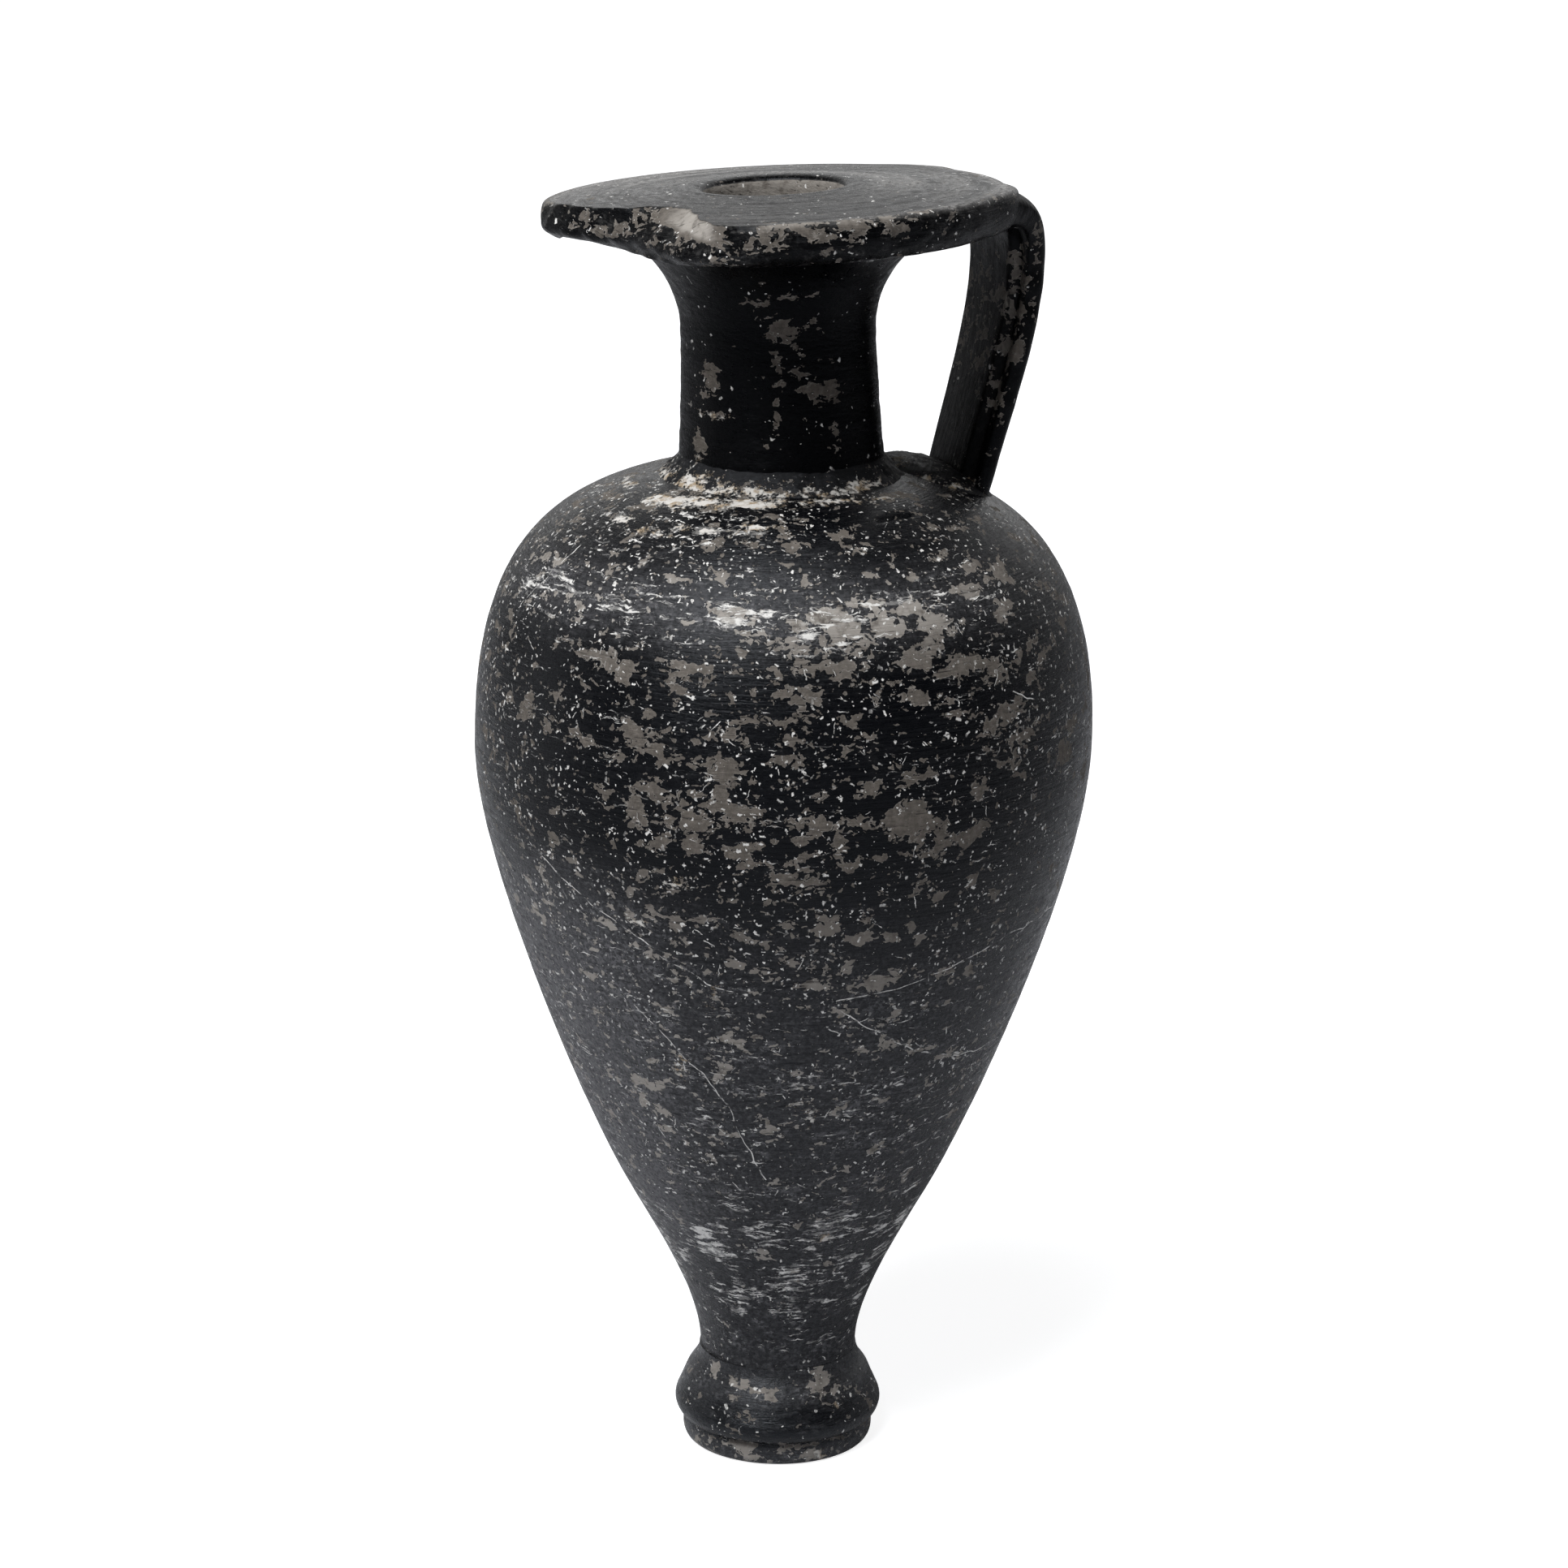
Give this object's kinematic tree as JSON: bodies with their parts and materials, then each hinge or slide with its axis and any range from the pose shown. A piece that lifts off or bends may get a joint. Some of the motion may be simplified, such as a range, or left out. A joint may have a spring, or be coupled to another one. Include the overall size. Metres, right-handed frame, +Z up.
{
  "type": "aryballos flask",
  "caption": "Small pear-shaped oil flask in black-slipped ceramic with moulded foot, narrow neck, flat mouth plate with an old rim break, and one upright strap handle.",
  "frame": {"origin": "centre of the flat underside of the foot", "axes": "+Z up along the flask's axis; +X towards the strap handle; +Y completes a right-handed frame"},
  "size_m": [0.0718, 0.0718, 0.1523],
  "materials": {
    "black_slip": "burnished blue-black slip, satin, with flaked grey-brown patches and white specks",
    "worn_slip": "burnished black slip rubbed to grey-brown clay on the edges",
    "encrusted_clay": "matt clay with pale earth deposits"
  },
  "bodies": {
    "root": {"foot": "black_slip", "body": "black_slip", "neck": "black_slip", "neck_coil": "encrusted_clay", "mouth_plate": "worn_slip", "handle": "worn_slip", "handle_pad": "encrusted_clay"}
  },
  "joints": []
}
